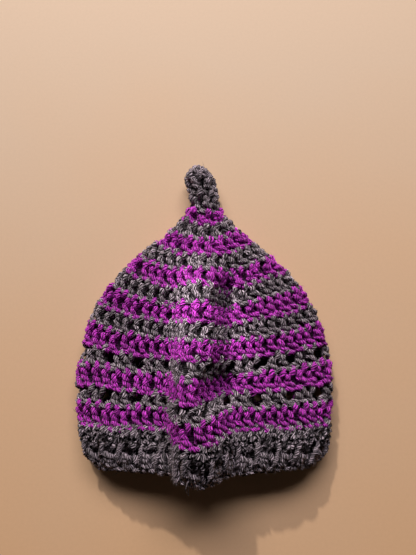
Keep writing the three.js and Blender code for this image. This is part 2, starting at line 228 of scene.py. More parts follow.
# The brim's second round: a slanting post that runs on over the fan, three strands spread to its right,
# the sunken stitch between ribs, and the edge
RIB = [(0.04, 0.86, 0.0, 0.8), (-0.04, 0.70, 1.6, 1.0), (0.02, 0.44, 2.8, 1.15), (0.12, 0.18, 3.2, 1.2),
       (0.24, -0.10, 3.3, 1.15), (0.36, -0.30, 2.9, 1.05), (0.48, -0.42, 1.4, 0.9), (0.60, -0.20, -1.2, 0.8),
       (0.42, 0.02, 0.8, 1.0), (0.62, 0.13, 2.3, 1.35), (0.96, 0.22, 2.3, 1.4), (1.28, 0.31, 1.2, 1.2),
       (1.38, 0.44, -0.8, 0.9), (1.02, 0.46, 1.6, 1.25), (0.62, 0.37, 2.3, 1.35), (0.30, 0.28, 1.2, 1.1),
       (0.18, 0.42, -0.6, 0.85), (0.40, 0.56, 1.6, 1.25), (0.78, 0.65, 2.0, 1.3), (1.16, 0.70, 1.0, 1.15),
       (1.30, 0.78, -0.6, 0.9), (0.80, 0.60, -1.8, 0.8), (1.40, 0.10, -1.2, 0.9), (1.60, 0.24, 0.8, 1.2),
       (1.68, 0.50, 1.2, 1.3), (1.52, 0.80, -0.4, 0.9)]
EDGE = [(0.20, 0.82, -1.0, 0.8), (0.05, 0.84, 0.1, 0.9), (0.28, 0.90, 0.8, 1.1), (0.62, 0.91, 0.9, 1.1),
        (0.90, 0.86, 0.0, 0.9), (0.66, 0.80, -0.8, 0.9), (0.34, 0.80, -0.6, 0.9), (0.60, 0.87, -1.3, 0.8)]
# One chain stitch of the seam where the rounds join, and the yarn's way back behind the chain
SEAM = [(0.00, -0.02, 0.6, 0.9), (-0.20, 0.10, 2.2, 1.05), (-0.17, 0.24, 2.6, 1.1), (0.02, 0.37, 1.6, 0.9),
        (0.18, 0.24, 2.6, 1.1), (0.21, 0.08, 2.2, 1.05)]
SEAM_BACK = [(0.0, 0.9, -1.6, 0.7), (0.0, 0.5, -1.9, 0.7), (0.0, 0.1, -1.6, 0.7)]

# Loose ends that lie on the brim: round from the mouth, millimetres across and out, and how plump
LOOSE_ENDS = (
    [(1.80, -19.0, 3.0, 0.40), (1.62, -19.6, 5.6, 0.42), (1.40, -20.6, 6.6, 0.42), (1.15, -22.0, 6.9, 0.40),
     (0.92, -22.5, 6.8, 0.36), (0.66, -22.7, 6.8, 0.34), (0.40, -22.8, 6.2, 0.34), (0.14, -22.8, 4.6, 0.32),
     (0.12, -22.6, 1.8, 0.32), (0.50, -22.4, 1.0, 0.32), (1.00, -22.0, 1.0, 0.32), (1.50, -20.4, 1.0, 0.36)],
    [(0.52, -9.2, 3.6, 0.28), (0.30, -9.4, 5.4, 0.30), (0.08, -9.5, 5.4, 0.26), (-0.14, -9.6, 4.2, 0.22),
     (-0.34, -9.5, 3.0, 0.16), (-0.46, -9.5, 2.2, 0.12), (-0.30, -9.4, 2.0, 0.12), (-0.05, -9.3, 1.8, 0.20)],
)

# How stitches stray: down as a share of the unevenness, and of that at heads and feet; out in millimetres,
# and of that each point by itself; how fast it fades from the middle; each point's own share. Then how far
# a round wanders, down in rounds and out in millimetres, in how many waves
STRAY_DOWN = 0.7
STRAY_ENDS = 0.4
STRAY_OUT = 0.3
STRAY_OUT_POINT = 0.5
MIDDLE_FALL = 1.2
STRAY_POINT = 0.35
WANDER_DOWN = 0.05
WANDER_OUT = 0.25
WAVES = (2, 5, 9)

# The yarn: rings from one point of its path to the next, points around, plies as geometry and strands in
# the finish, how far the plies stand out as a share of the radius, and how uneven its thickness and its
# twist are
RINGS = 2
SIDES = 8
PLIES = 4
STRANDS = 6
PLY_RELIEF = 0.17
UNEVEN_THICKNESS = 0.06
UNEVEN_TWIST = 0.3
# Stray fibres: half thickness from root to tip, shape and scale of their lengths, shortest and longest, how
# deep they root as a share of the yarn's radius, how far they turn off across it, how steeply they rise,
# and how they bend over along it, steadily and more and more
FIBRE = (0.11, 0.10, 0.08, 0.02)
FIBRE_SPREAD = (2.0, 0.9)
FIBRE_SHORTEST = 0.6
FIBRE_LONGEST = 6.5
FIBRE_ROOT = 0.92
FIBRE_TURN = 0.7
FIBRE_RISE = 0.5
FIBRE_BEND = (0.3, 0.6)
# The least heights of yarn, pads and the middle of fibres above the floor
YARN_FLOOR = 0.02
PAD_FLOOR = 0.1
FIBRE_FLOOR = 0.13

# The pad of matted fibres behind a stitch: half width and half height as the stitch's, half depth and place
# in the wall in millimetres. Its outer faces are painted nearly black, as painted shade in the gaps between
# strands
PAD = (0.62, 0.68, 0.8, -2.0)
# A pad's rings, points in a ring, degrees from its middle to its ends, the powers that square it up and
# taper it, and the faces that close its lower end
PAD_RINGS = 5
PAD_SIDES = 8
PAD_POINTS = PAD_RINGS * PAD_SIDES
PAD_ANGLE = 72
PAD_SQUARE = 0.7
PAD_TAPER = 0.5
PAD_END = ((3, 2, 1, 0), (7, 4, 3, 0), (7, 6, 5, 4))
# Holes higher than this, on the ridge, have a pad behind them too, in millimetres, which fills the hole with
# painted shade
RIDGE_HOLES = 40.0
# Pads lie this far back along the yarn's place map, twice as far behind holes, and three times as far on
# faces that look into the cap. The finish darkens each by its own share of the colour, as painted shade:
# nearly black outside, darker still in holes, and about half on faces inside the cap. A millimetre up the cap
# counts there as this share of a turn around the yarn
FAR = 1000.0
PAD_PAINTED_SHADE = 0.07
HOLE_PAINTED_SHADE = 0.02
INNER_PAINTED_SHADE = 0.47
PAD_TURN = 0.13

# The finish: light and dark as shares of the colour, where dark, colour and light lie in the shade, and what
# plies, strands and fibres add to the shade and to the bump. The plies and strands paint shade into their
# grooves and highlight onto their crests, and the fibres vary at random, so the dark end is partly painted
# shade and the light end partly painted highlight
YARN_LIGHT_AND_HIGHLIGHT = {"purple": 2.3, "grey": 6.4}
YARN_DARK_AND_SHADE = {"purple": 0.05, "grey": 0.03}
LIGHT_ADDED = 0.02
SHADE_STOPS = (0.53, 0.655, 0.84)
PLY_SHADE_AND_HIGHLIGHT = 0.12
STRAND_SHADE_AND_HIGHLIGHT = 0.32
SHADE_FIBRE = 0.72
BUMP_WOUND = 0.4
BUMP_FIBRE = 0.8
BUMP_DEPTH = 1.4 * MM
# Scale and stretch of the fibres in the finish, and scale and depth of the shade's drift
FIBRE_SCALE = 1.7
FIBRE_STRETCH = 0.20
DRIFT_SCALE = 90.0
DRIFT_DEPTH = 0.5

# The floor: how far it reaches, how fast and between which tints it changes, as painted light that is lighter
# and whiter away from the camera and darker and warmer towards it, its mottle and its grain
FLOOR_REACH = 6.0
FLOOR_PAINTED_LIGHT_FALL = 2.3
FLOOR_PAINTED_LIGHT_TINTS = ((1.06, 0.93, 0.80), (0.98, 1.06, 1.20))
MOTTLE_SCALE = 3.0
GRAIN_SCALE = 420.0
GRAIN_DEPTH = 0.07

# Lights: colours, sizes, and the height, turn and distance of the soft one and of the small ones on the
# ridge, with their cone and where they are aimed, in millimetres
HARD_COLOUR = (1.0, 0.94, 0.82)
SOFT_COLOUR = (1.0, 0.955, 0.94)
RIDGE_COLOUR = (1.0, 0.93, 0.93)
ROOM_COLOUR = (1.0, 0.78, 0.62, 1)
HARD_SIZE = np.radians(2.0)
SOFT_PLACE = (np.radians(45), np.radians(3), 1.4)
SOFT_SIZE = (1.4, 0.45)
RIDGE_LIGHT_PLACE = (np.radians(40), np.radians(48), 1.0)
RIDGE_CONE = np.radians(2.9)
RIDGE_LIGHT_RADIUS = 0.02
RIDGE_SPOTS = ((-9.0, 30.0, 44.0), (-12.0, 9.0, 49.0), (-15.0, -12.0, 54.0))

# Camera: place across and along in millimetres, sensor, lens, nearest and farthest seen
CAMERA_PLACE = (2.7, -30.4)
SENSOR = 36.0
LENS = 27.05
CLIP = (0.01, 20)

# How finely the surfaces are laid out: the cap's rows in a round, columns, points in a fold, across the
# front and around its upper rim, and the topknot's steps along its table, rows, columns and, in
# millimetres, least radius
ROUND_ROWS = 16
COLUMNS = 512
FOLD_POINTS = 48
FRONT_POINTS = 320
RIM_POINTS = 256
KNOT_STEPS = 400
KNOT_ROWS = 96
KNOT_COLUMNS = 128
KNOT_LEAST = 0.2


# Yarn, handwork and stage, as a user can change them

class NightcapYarn(bpy.types.PropertyGroup):
    """Yarn of the cap"""
    thickness: bpy.props.FloatProperty(
        name="Thickness", description="Diameter of the yarn", default=2.8 * MM, min=1.5 * MM, max=4 * MM,
        precision=4, unit="LENGTH")
    ply_spacing: bpy.props.FloatProperty(
        name="Ply Spacing", description="Distance along the yarn from one ply to the next", default=1.7 * MM,
        min=0.5 * MM, max=4 * MM, precision=5, unit="LENGTH")
    purple: bpy.props.FloatVectorProperty(
        name="Purple", description="Colour of the purple yarn", default=(0.545, 0.028, 0.53), size=3,
        min=0.0, max=1.0, subtype="COLOR")
    grey: bpy.props.FloatVectorProperty(
        name="Grey", description="Colour of the heather grey yarn", default=(0.124, 0.100, 0.121), size=3,
        min=0.0, max=1.0, subtype="COLOR")
    fibres: bpy.props.IntProperty(
        name="Stray Fibres", description="Loose fibres on each stitch", default=12, min=0, max=30)


class NightcapStitches(bpy.types.PropertyGroup):
    """Handwork of the cap"""
    unevenness: bpy.props.FloatProperty(
        name="Unevenness", description="How far stitches stray from the pattern, in stitch widths",
        default=0.08, min=0.0, max=0.15, subtype="FACTOR")
    lean: bpy.props.FloatProperty(
        name="Lean", description="Lean of the posts, in stitch widths", default=0.12, min=-0.6, max=0.6)
    side_lean: bpy.props.FloatProperty(
        name="Side Lean", description="Further lean on the right side, taken off on the left",
        default=0.16, min=-0.6, max=0.6)
    rib_relief: bpy.props.FloatProperty(
        name="Rib Relief", description="How far front posts stand out and back posts stand in",
        default=1.5 * MM, min=0.0, max=3 * MM, precision=4, unit="LENGTH")
    seed: bpy.props.IntProperty(name="Seed", description="Seed of the uneven handwork", default=7, min=0)


class NightcapStage(bpy.types.PropertyGroup):
    """Floor, light and camera"""
    floor: bpy.props.FloatVectorProperty(
        name="Floor", description="Colour of the floor", default=(0.715, 0.485, 0.315), size=3, min=0.0,
        max=1.0, subtype="COLOR")
    sun_height: bpy.props.FloatProperty(
        name="Light Height", description="Height of the hard light above the floor", default=np.radians(28.5),
        subtype="ANGLE")
    sun_side: bpy.props.FloatProperty(
        name="Light Side", description="Turn of the hard light from behind the topknot to the left",
        default=np.radians(17), subtype="ANGLE")
    sun: bpy.props.FloatProperty(
        name="Hard Light", description="Strength of the hard light", default=1.49, min=0.0)
    window: bpy.props.FloatProperty(
        name="Soft Light", description="Power of the soft light", default=18.6, min=0.0, unit="POWER")
    gleam: bpy.props.FloatProperty(
        name="Ridge Light", description="Power of each small light on the ridge", default=38.0, min=0.0,
        unit="POWER")
    room: bpy.props.FloatProperty(
        name="Room Light", description="Strength of the even light of the room", default=0.02, min=0.0)
    camera_height: bpy.props.FloatProperty(
        name="Camera Height", description="Height of the camera above the table", default=334 * MM,
        unit="LENGTH")
    camera_tilt: bpy.props.FloatProperty(
        name="Camera Tilt", description="Tilt of the camera from straight down", default=np.radians(9.86),
        subtype="ANGLE")


# The cap's surface

def smooth_column(rows, column, at):
    """A table column at fractional rows: cubic pieces through the rows, whose slope at a row is half the
    step from the row before to the row after."""
    last = len(rows) - 1
    at = np.asarray(at, float)
    low = np.clip(np.floor(at).astype(int), 0, last - 1)
    t = at - low
    values = rows[:, column]

    def slope(k):
        before, after = np.maximum(k - 1, 0), np.minimum(k + 1, last)
        return (values[after] - values[before]) / (after - before)

    return ((1 + 2 * t) * (1 - t) ** 2 * values[low] + t * (1 - t) ** 2 * slope(low)
            + t * t * (3 - 2 * t) * values[low + 1] + t * t * (t - 1) * slope(low + 1))


def hill(distance):
    """One at nought and nought from one on: 1 - 2dd up to a half, then 2(1 - d)(1 - d)."""
    d = np.minimum(np.abs(distance), 1)
    return np.where(d < 0.5, 1 - 2 * d * d, 2 * (1 - d) ** 2)


def swell(across, along, place, reach, middle, spread):
    """A hill across times a hill along."""
    return hill((across - place) / reach) * hill((along - middle) / spread)


def smooth_step(t):
    """Nought up to nought, one from one on, and tt(3 - 2t) between."""
    t = np.clip(t, 0, 1)
    return t * t * (3 - 2 * t)


def spread_evenly(points, columns):
    """Closed lines of points, one a row, as the same lines with that many points evenly by length."""
    closed = np.concatenate([points, points[:, :1]], 1)
    steps = np.linalg.norm(np.diff(closed, axis=1), axis=2)
    length = np.concatenate([np.zeros((len(points), 1)), np.cumsum(steps, 1)], 1)
    wanted = np.arange(columns) / columns
    rows = [[np.interp(wanted * run[-1], run, line[:, k]) for k in range(3)]
            for run, line in zip(length, closed)]
    return np.array(rows).transpose(0, 2, 1), length[:, -1]


class Surface:
    """The wall's middle as a grid: rows along the cap, columns evenly around it from the middle of the
    back layer by the right side. A place on it is read between the grid's points, and out is measured
    along the normal, which is the step up the cap crossed with the step around it."""

    def __init__(self, points, low, step):
        self.points, self.low, self.step = points, low, step
        around = np.roll(points, -1, 1) - np.roll(points, 1, 1)
        normals = np.cross(np.gradient(points, axis=0), around)
        self.normals = normals / np.maximum(np.linalg.norm(normals, axis=2, keepdims=True), 1e-12)

    def at(self, row, share, out):
        rows, columns = self.points.shape[:2]
        r = np.clip((row - self.low) / self.step, 0, rows - 1.0001)
        c = (share % 1.0) * columns
        r0, c0 = r.astype(int), c.astype(int) % columns
        c1 = (c0 + 1) % columns
        fr, fc = (r - r0)[..., None], (c - np.floor(c))[..., None]

        def between(grid):
            return ((grid[r0, c0] * (1 - fc) + grid[r0, c1] * fc) * (1 - fr)
                    + (grid[r0 + 1, c0] * (1 - fc) + grid[r0 + 1, c1] * fc) * fr)

        normal = between(self.normals)
        normal /= np.linalg.norm(normal, axis=-1, keepdims=True)
        return between(self.points) + normal * np.asarray(out)[..., None]


def section_sizes(rounds):
    """The cap's section at each place along it, in millimetres: every share from the table, read between
    its rows, times the size that it is a share of. The ridge shrinks with the half width where that is
    less than a full ridge has."""
    share = {name: smooth_column(SECTIONS, k, rounds) for k, name in enumerate(SECTION_NAMES)}
    half = share["width"] * HALF_WIDTH - WALL / 2
    fold = np.minimum(share["side"] * FOLD_RADIUS, half)
    small = np.minimum(1, half / FULL_RIDGE_HALF_WIDTH)
    return {
        "half": half, "fold": fold, "flat": half - fold,
        "top": np.maximum(share["panel"] * PANEL_HEIGHT - WALL, 2 * fold),
        "rise": np.maximum(share["rise"], 0) * RIDGE_RISE, "crest": share["crest"] * HALF_WIDTH,
        "left": RIDGE_LEFT * small, "right": RIDGE_RIGHT * small, "ledge": RIDGE_TOP * small,
        "smile": share["smile"] * SMILE, "slip": share["slip"] * RIDGE_SLIP,
    }


def round_level(rounds):
    """Distance from the mouth: the heights of the whole rounds below added up, and a share of the round's
    own height. The first and the last round's heights run on past the ends."""
    heights = np.concatenate([np.full(RIB_ROUNDS, RIB_ROUND), CROWN_ROUND * np.array(ROUND_SHARES)])
    levels = np.concatenate([[0], np.cumsum(heights)])
    index = np.clip(np.floor(rounds).astype(int), 0, len(heights) - 1)
    return levels[index] + (rounds - index) * heights[index]


def cap_surface():
    """The cap from its mouth to past the crown. Each round boundary is a closed line: the flat back layer
    at the bottom, a half circle at each fold, and over them the front layer, a pillow whose height falls
    off as a power of the distance from the middle, with a smooth hill for the ridge. Products of hills
    and steps, one across and one along, make the dent, the crease, the hollows, the ripple between rounds
    and the swells. A line's place along the cap is the level of its round, bent by a parabola across,
    slipped at the ridge as far as the crease, and pushed in the swells."""
    step = 1 / ROUND_ROWS
    rounds = np.arange(-0.5, RIB_ROUNDS + CROWN_ROUNDS + 1 + step / 2, step)
    s = {name: value[:, None] for name, value in section_sizes(rounds).items()}
    t = np.linspace(0, 1, FOLD_POINTS, endpoint=False)[None]
    front_x = s["flat"] * np.linspace(1, -1, FRONT_POINTS, endpoint=False)[None]
    across = np.minimum(np.abs(front_x) / np.maximum(s["flat"], 1e-6), 1)
    along = rounds[:, None]
    power = PANEL_POWER + FULL_POWER * hill(along / FULL_ROUNDS)
    pillow = 2 * s["fold"] + (s["top"] - 2 * s["fold"]) * (1 - across ** power)
    offset = front_x - s["crest"]
    edge = s["ledge"] / 2
    beside = np.where(offset < 0, np.minimum(offset + edge, 0) / s["left"],
                      np.maximum(offset - edge, 0) / s["right"])
    front_z = pillow + s["rise"] * hill(beside) - DENT_DEPTH * swell(front_x, along, *DENT)
    right, left = -np.pi / 2 + np.pi * t, np.pi / 2 + np.pi * t
    x = np.concatenate([s["flat"] * t, s["flat"] + s["fold"] * np.cos(right), front_x,
                        -s["flat"] + s["fold"] * np.cos(left), -s["flat"] * (1 - t)], 1)
    z = np.concatenate([0 * s["flat"] * t, s["fold"] * (1 + np.sin(right)), front_z,
                        s["fold"] * (1 + np.sin(left)), 0 * s["flat"] * t], 1)
    level = round_level(rounds)[:, None]
    offset = x - s["crest"]
    slip_at = np.where(offset < 0, offset / (RIDGE_LEFT + SLIP_EASE), offset / RIDGE_RIGHT)
    in_front = np.clip(z / s["fold"] - 1, 0, 1)
    creased = hill((along - CREASE_ROUND) / CREASE_ROUNDS)
    stepped = smooth_step((offset - CREASE_X) / CREASE_WIDTH + 0.5)
    slipped = hill(slip_at) + np.where(offset < 0, creased, 0) * (stepped - hill(slip_at))
    z = z - CREASE_DEPTH * creased * hill((offset - CREASE_X) / CREASE_WIDTH) * in_front
    for start, fall, climb, left_end, right_end, depth in HOLLOWS:
        below = start - along
        deep = smooth_step(below / fall) * (1 - smooth_step((below - fall) / climb))
        width = (smooth_step((offset - left_end) / HOLLOW_SLOPE)
                 * smooth_step((right_end - offset) / HOLLOW_SLOPE))
        z = z - depth * deep * width * in_front
    rippled = swell(offset, along, *RIPPLE)
    z = z - RIPPLE_DEPTH * rippled * (0.5 + 0.5 * np.cos(2 * np.pi * along)) * in_front
    y = level + s["smile"] * (x / s["half"]) ** 2 + s["slip"] * slipped * in_front
    for place, lift, push in SWELLS:
        swollen = swell(offset, along, *place) * in_front
        y, z = y + push * swollen, z + lift * swollen
    lines, lengths = spread_evenly(np.stack([x, y, z + WALL / 2], 2), COLUMNS)
    return Surface(lines, rounds[0], step), rounds, lengths


def knot_surface(base, rounds):
    """The topknot's wall from its neck to its closed end: circles standing on the table, whose radius and
    lean run smoothly along its length, taken in by half the wall, with the rows spread evenly along it."""
    row = np.linspace(0, len(KNOT) - 1, KNOT_STEPS)
    at, radius, lean = (smooth_column(KNOT, k, row) for k in range(3))
    at, radius, lean = np.clip(at, 0, 1), np.maximum(radius, 0) * KNOT_RADIUS, lean * KNOT_RADIUS
    along = at * (KNOT_LENGTH + KNOT_SINK)
    steps = np.hypot(np.diff(along), np.diff(radius))
    run = np.concatenate([[0], np.cumsum(steps)])
    slope = np.arctan2(-np.gradient(radius), np.gradient(along))
    inner_radius = np.maximum(radius - np.cos(slope) * WALL / 2, KNOT_LEAST)
    inner_along = along - np.sin(slope) * WALL / 2
    even = np.linspace(0, run[-1], KNOT_ROWS)
    r, a, shift = (np.interp(even, run, v)[:, None] for v in (inner_radius, inner_along, lean))
    angle = 2 * np.pi * np.arange(KNOT_COLUMNS)[None] / KNOT_COLUMNS - np.pi / 2
    points = np.stack([shift + r * np.cos(angle), base + a + 0 * angle, KNOT_RADIUS + r * np.sin(angle)], 2)
    return Surface(points, 0, rounds / (KNOT_ROWS - 1))


# Yarn

def laid(path, start=0.0, width=1.0):
    """A path of yarn that starts so many stitch widths along and is so many times as wide."""
    path = np.array(path)
    path[:, 0] = start + path[:, 0] * width
    return path


def seam():
    """The chain stitches of the seam, one below another, and the yarn's way back behind them."""
    front = [np.array(SEAM) + [0, k / SEAM_CHAINS, SEAM_OUT, 0] for k in range(SEAM_CHAINS)]
    return np.concatenate([*front, SEAM_BACK])


def pad(start, width=1.0):
    """The pad behind a stitch: a rounded box, rings of points about its upright axis. A ring's places
    are powers of the sine and cosine of the turn, and the rings grow smaller towards the ends by a power
    of the cosine of the rise."""
    half_width, half_height, half_depth, out = PAD
    rise = np.radians(np.linspace(-PAD_ANGLE, PAD_ANGLE, PAD_RINGS))[:, None]
    turn = 2 * np.pi * np.arange(PAD_SIDES)[None] / PAD_SIDES

    def squared(v):
        return np.sign(v) * np.abs(v) ** PAD_SQUARE

    ring = np.cos(rise) ** PAD_TAPER
    x = start + half_width * width * ring * squared(np.cos(turn))
    y = 0.5 + half_height * squared(np.sin(rise)) + 0 * turn
    z = out + half_depth * ring * squared(np.sin(turn))
    return np.stack([x, y, z], 2).reshape(-1, 3)


def tube_walls(rings, sides, closed=False):
    """Four-cornered faces between rings of that many points, the last ring joined to the first one if
    closed, and the ring and the side where each face starts."""
    ring, side = np.meshgrid(np.arange(rings if closed else rings - 1), np.arange(sides), indexing="ij")
    here, there, beside = ring * sides, (ring + 1) % rings * sides, (side + 1) % sides
    faces = np.stack([here + side, here + beside, there + beside, there + side], -1).reshape(-1, 4)
    return faces, ring, side


def pad_faces(count):
    """Four-cornered faces of that many pads, both ends closed."""
    low = np.array(PAD_END)
    high = low[:, ::-1] + PAD_POINTS - PAD_SIDES
    faces = np.concatenate([tube_walls(PAD_RINGS, PAD_SIDES)[0], low, high])
    return (faces[None] + PAD_POINTS * np.arange(count)[:, None, None]).reshape(-1, 4)


def pad_inside():
    """Which faces of a pad look into the cap: those on the half of the turn that lies deeper."""
    walls = np.tile(np.arange(PAD_SIDES) >= PAD_SIDES // 2, PAD_RINGS - 1)
    return np.concatenate([walls, np.zeros(2 * len(PAD_END), bool)])


class Round:
    """One worked round. A place in it is given in stitch widths along, round heights down and
    millimetres out. Every stitch is moved a little, the whole round wanders, and the posts lean."""

    def __init__(self, surface, top, repeats, widths, first, settings, random, wobble=1.0):
        self.surface, self.top, self.first = surface, top, first
        self.repeats, self.widths, self.settings, self.random = repeats, widths, settings, random
        self.moved = random.normal(0, 1, (repeats, widths, 4)) * wobble
        self.wobble, self.lean = wobble, settings.lean
        self.waves = random.normal(0, 1, (2, len(WAVES))), random.random((2, len(WAVES)))

    def wander(self, share, which, size):
        """A slow unevenness around the round: waves of random strength and start."""
        strength, start = self.waves[0][which], self.waves[1][which]
        return sum(size / 2 * strength[k] * np.sin(2 * np.pi * (wave * share + start[k]))
                   for k, wave in enumerate(WAVES))

    def place(self, unit, fine=0.0):
        """Places of a unit of points, carried around: (repeats, points, 3) in millimetres."""
        repeat = np.arange(self.repeats)[:, None]
        shape = (self.repeats, len(unit))
        x, y, out = (np.broadcast_to(unit[None, :, k], shape) for k in range(3))
        stitches = self.repeats * self.widths
        share = self.first - (repeat * self.widths + x) / stitches
        moved = self.moved[repeat, np.clip(np.round(x), 0, self.widths - 1).astype(int)]
        shaken = self.random.normal(0, 1, (*shape, 3)) * fine * self.wobble
        loose = self.settings.unevenness
        lean = self.lean + self.settings.side_lean * np.sin(2 * np.pi * share)
        middle = np.clip(1 - np.abs(y - 0.5) * MIDDLE_FALL, 0, 1)
        lean = lean + moved[..., 3] * loose
        shift = (moved[..., 0] + shaken[..., 0]) * loose + lean * (np.clip(y, 0, 1) - 0.5)
        down = (moved[..., 1] * (STRAY_ENDS + middle) + shaken[..., 1]) * loose * STRAY_DOWN
        off = (moved[..., 2] * middle + shaken[..., 2] * STRAY_OUT_POINT) * STRAY_OUT
        return self.surface.at(self.top - y - down - self.wander(share, 0, WANDER_DOWN),
                               share - shift / stitches, out + off + self.wander(share, 1, WANDER_OUT))

    def outward(self, unit):
        """The direction out of the cap where each repeat starts."""
        stitches = self.repeats * self.widths
        share = self.first - np.arange(self.repeats) / self.repeats - unit[0, 0] / stitches
        row = np.full(self.repeats, self.top - unit[0, 1])
        out = [self.surface.at(row, share, np.full(self.repeats, k)) for k in (0.0, 1.0)]
        return unit_length(out[1] - out[0])


def through(points, steps):
    """Points of a smooth closed line: the Catmull-Rom cubic through each four neighbours, in even steps."""
    t = (np.arange(steps) / steps)[None, :, None]
    p = [np.roll(points, k, 0)[:, None] for k in (1, 0, -1, -2)]
    line = 0.5 * (2 * p[1] + (p[2] - p[0]) * t + (2 * p[0] - 5 * p[1] + 4 * p[2] - p[3]) * t ** 2
                  + (3 * p[1] - p[0] - 3 * p[2] + p[3]) * t ** 3)
    return line.reshape(-1, points.shape[1])


def unit_length(v):
    """The same directions, one long."""
    return v / np.maximum(np.linalg.norm(v, axis=-1, keepdims=True), 1e-12)


def yarn_frames(tangent, outward, pieces):
    """Two directions across the yarn at each ring. In every one of the pieces of the line the first is
    carried on without twisting, ring by ring for all pieces at once, and what it is off by at the end is
    shared out along the piece, so the pieces meet."""
    t = tangent.reshape(pieces, -1, 3)
    rings = t.shape[1]
    start = unit_length(np.cross(t[:, 0], outward))
    carried = [start]
    following = np.concatenate([t, np.roll(t, -1, 0)[:, :1]], 1)
    for k in range(1, rings + 1):
        v = carried[-1] - np.sum(carried[-1] * following[:, k], 1, keepdims=True) * following[:, k]
        carried.append(unit_length(v))
    end, wanted, axis = carried[-1], np.roll(start, -1, 0), following[:, -1]
    off = np.arctan2(np.sum(np.cross(end, wanted) * axis, 1), np.sum(end * wanted, 1))
    a = np.stack(carried[:-1], 1)
    turn = (off[:, None] * np.arange(rings) / rings)[..., None]
    b = np.cross(t, a)
    a = a * np.cos(turn) + b * np.sin(turn)
    return a.reshape(-1, 3), np.cross(t, a).reshape(-1, 3)


def yarn_tube(points, plump, outward, radius, ply_spacing, random):
    """A closed yarn through control points (pieces, points, 3): rings of points square to the line, at
    the plies' crests and the grooves between them, each ring turned on so that the plies wind round the
    line. Returns points, faces and, for each face corner, the distance along in millimetres and the share
    around counted with the plies, plus what stray fibres start from."""
    pieces = points.shape[0]
    line = through(np.column_stack([points.reshape(-1, 3), np.tile(plump, pieces)]), RINGS)
    line, plump = line[:, :3], line[:, 3]
    line[:, 2] = np.maximum(line[:, 2], radius * plump + YARN_FLOOR)
    ahead = np.roll(line, -1, 0)
    tangent = unit_length(ahead - np.roll(line, 1, 0))
    a, b = yarn_frames(tangent, outward, pieces)
    steps = np.linalg.norm(ahead - line, axis=1)
    along = np.concatenate([[0], np.cumsum(steps)])
    lay = PLIES * ply_spacing
    along *= np.round(along[-1] / lay) * lay / along[-1]
    count = len(line)
    thick = radius * plump * (1 + random.normal(0, UNEVEN_THICKNESS, count))
    side = np.arange(SIDES)
    uneven = random.normal(0, UNEVEN_TWIST, (count, 1))
    angle = 2 * np.pi * (side[None] / SIDES + along[:-1, None] / lay) + uneven
    ridged = thick[:, None] * (1 + PLY_RELIEF * np.cos(2 * np.pi * PLIES * side / SIDES))[None]
    cross = a[:, None] * np.cos(angle)[..., None] + b[:, None] * np.sin(angle)[..., None]
    verts = line[:, None] + cross * ridged[..., None]
    verts[..., 2] = np.maximum(verts[..., 2], YARN_FLOOR)
    faces, ring, side = tube_walls(count, SIDES, closed=True)
    corners = ((0, 0), (0, 1), (1, 1), (1, 0))
    uv = np.stack([np.stack([along[ring + k], (side + m) / SIDES], -1) for k, m in corners], -2)
    return verts.reshape(-1, 3), faces, uv.reshape(-1, 2), (line, tangent, a, b, thick, along[:-1])


def stray_fibres(yarn, count, random):
    """Loose fibres: thin three-sided spikes from random places on the yarn. Each rises out of it and
    bends over along the yarn: root + out u + flow uu, with u from nought to one, thinning to its tip."""
    line, tangent, a, b, thick, along = yarn
    rings, sides = len(FIBRE), 3
    pick = random.integers(0, len(line), count)
    angle = random.random(count)[:, None] * 2 * np.pi
    out = a[pick] * np.cos(angle) + b[pick] * np.sin(angle)
    side = np.cross(tangent[pick], out)
    root = line[pick] + out * (thick[pick] * FIBRE_ROOT)[:, None]
    length = np.minimum(random.gamma(*FIBRE_SPREAD, count) + FIBRE_SHORTEST, FIBRE_LONGEST)[:, None]
    flow = unit_length(tangent[pick] * random.choice([-1, 1], count)[:, None]
                       + side * random.normal(0, FIBRE_TURN, (count, 1)))
    u = np.linspace(0, 1, rings)[None, :, None]
    bend = out[:, None] * FIBRE_RISE * u + flow[:, None] * (FIBRE_BEND[0] * u + FIBRE_BEND[1] * u ** 2)
    path = root[:, None] + length[:, None] * bend
    path[..., 2] = np.maximum(path[..., 2], FIBRE_FLOOR)
    step = unit_length(np.gradient(path, axis=1))
    flat = unit_length(np.cross(out, flow))[:, None] + 0 * step
    other = np.cross(step, flat)
    turn = (2 * np.pi * np.arange(sides) / sides)[None, None, :, None]
    rim = flat[:, :, None] * np.cos(turn) + other[:, :, None] * np.sin(turn)
    verts = path[:, :, None] + rim * np.array(FIBRE)[None, :, None, None]
    walls = tube_walls(rings, sides)[0]
    last = (rings - 1) * sides
    ends = np.array([[2, 1, 0], [last, last + 1, last + 2]])
    start = rings * sides * np.arange(count)[:, None, None]
    quads, tris = (walls[None] + start).reshape(-1, 4), (ends[None] + start).reshape(-1, 3)
    own = np.stack([along[pick], angle[:, 0] / (2 * np.pi)], 1)
    return [(verts.reshape(-1, 3), quads, np.repeat(own, walls.size, 0)),
            (np.zeros((0, 3)), tris - len(verts) * rings * sides, np.repeat(own, ends.size, 0))]


def facing_out(verts, faces):
    """The faces, turned over if the volume that they close comes out below nought."""
    a, b, c = verts[faces[:, 0]], verts[faces[:, 1]], verts[faces[:, 2]]
    volume = np.sum(a * np.cross(b, c))
    if faces.shape[1] == 4:
        volume += np.sum(a * np.cross(c, verts[faces[:, 3]]))
    return faces if volume > 0 else faces[:, ::-1]


